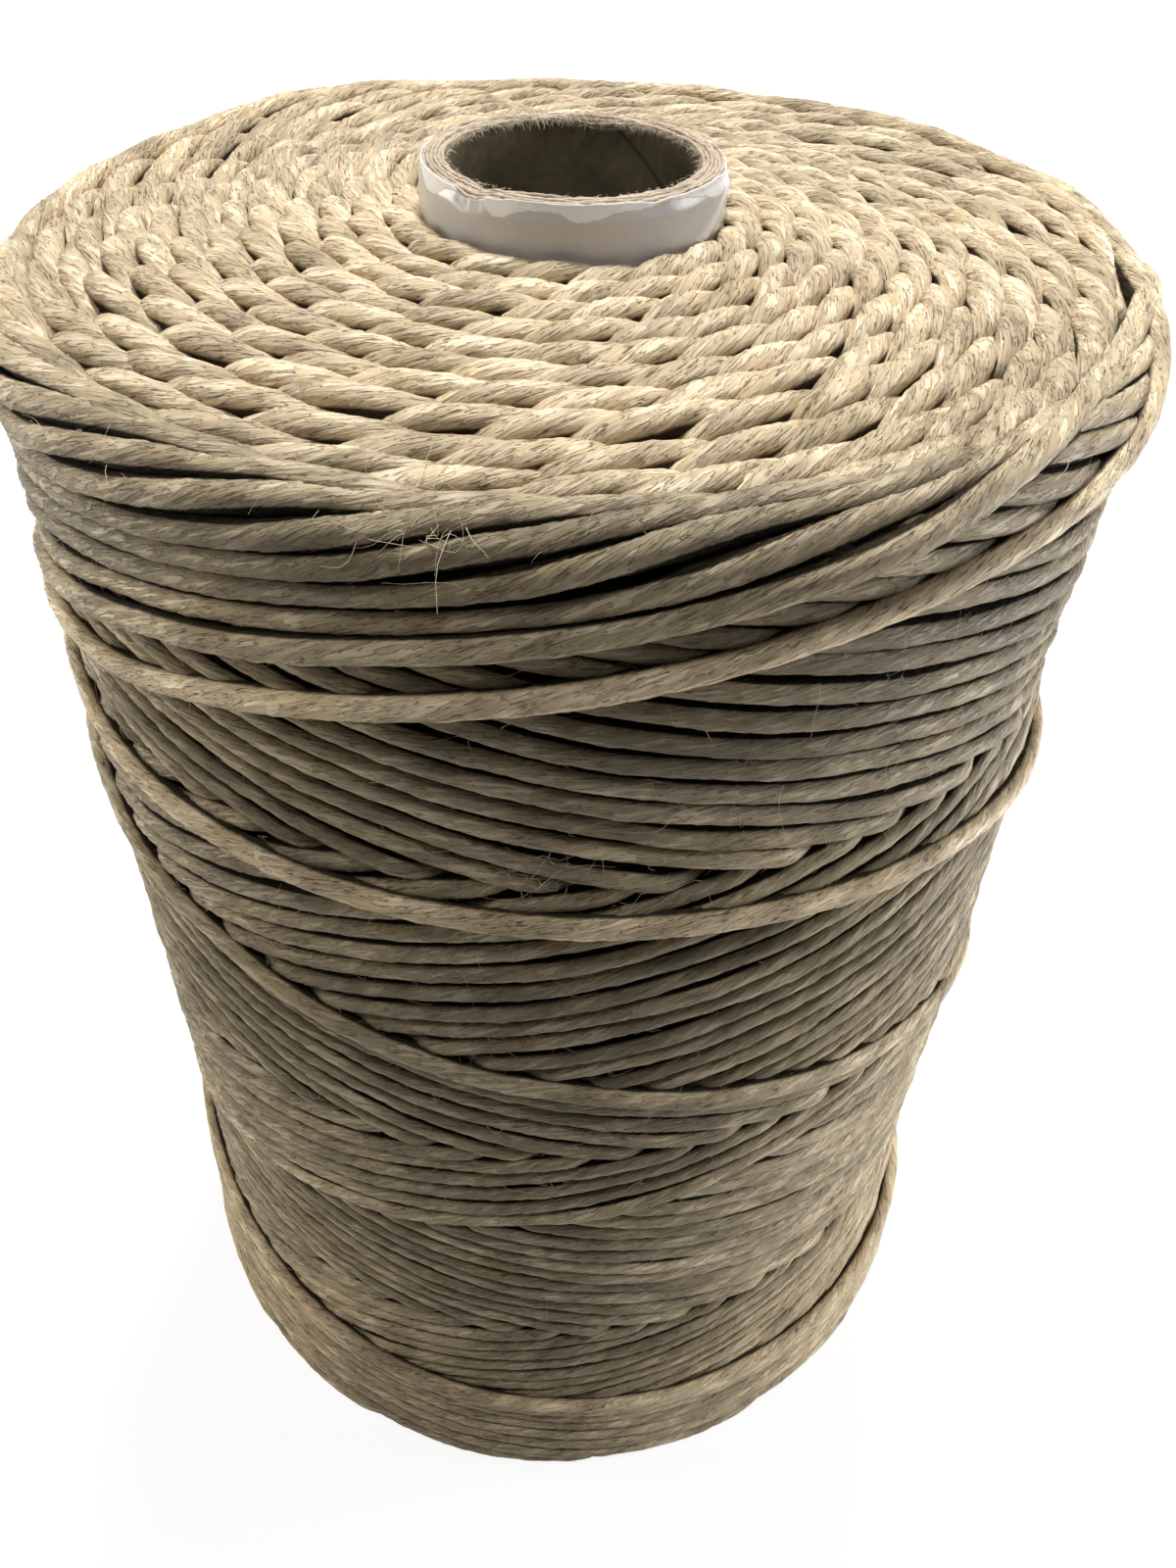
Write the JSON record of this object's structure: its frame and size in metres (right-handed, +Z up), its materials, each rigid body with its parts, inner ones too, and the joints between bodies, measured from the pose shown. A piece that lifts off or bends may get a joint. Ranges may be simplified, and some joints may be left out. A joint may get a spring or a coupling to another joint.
{
  "type": "twine spool",
  "caption": "Flangeless spool of thick polished natural-fibre twine, cross-wound on a spiral-wound cardboard tube with a white paper cover, which stands out above the flat wound end face",
  "frame": {"origin": "on the axis of the tube, in the plane that the spool stands on", "axes": "+Z runs up the tube, from the foot to the end where the tube stands out; the spool is round about Z, and -Y is the side seen from the front"},
  "size_m": [0.182, 0.182, 0.2539],
  "materials": {
    "twine": "polished natural bast-fibre twine, straw to taupe, with a soft waxy sheen",
    "core_board": "matt grey-brown recycled board",
    "liner_paper": "matt grey-brown kraft paper",
    "cover_paper": "white satin paper, torn and scuffed along the cut end"
  },
  "bodies": {
    "root": {"liner_ply": "liner_paper", "board_ply_1": "core_board", "board_ply_2": "core_board", "board_ply_3": "core_board", "board_ply_4": "core_board", "board_ply_5": "core_board", "board_ply_6": "core_board", "cover_ply": "cover_paper", "wound_body": "twine", "face_turns": "twine", "side_turns": "twine"}
  },
  "joints": []
}
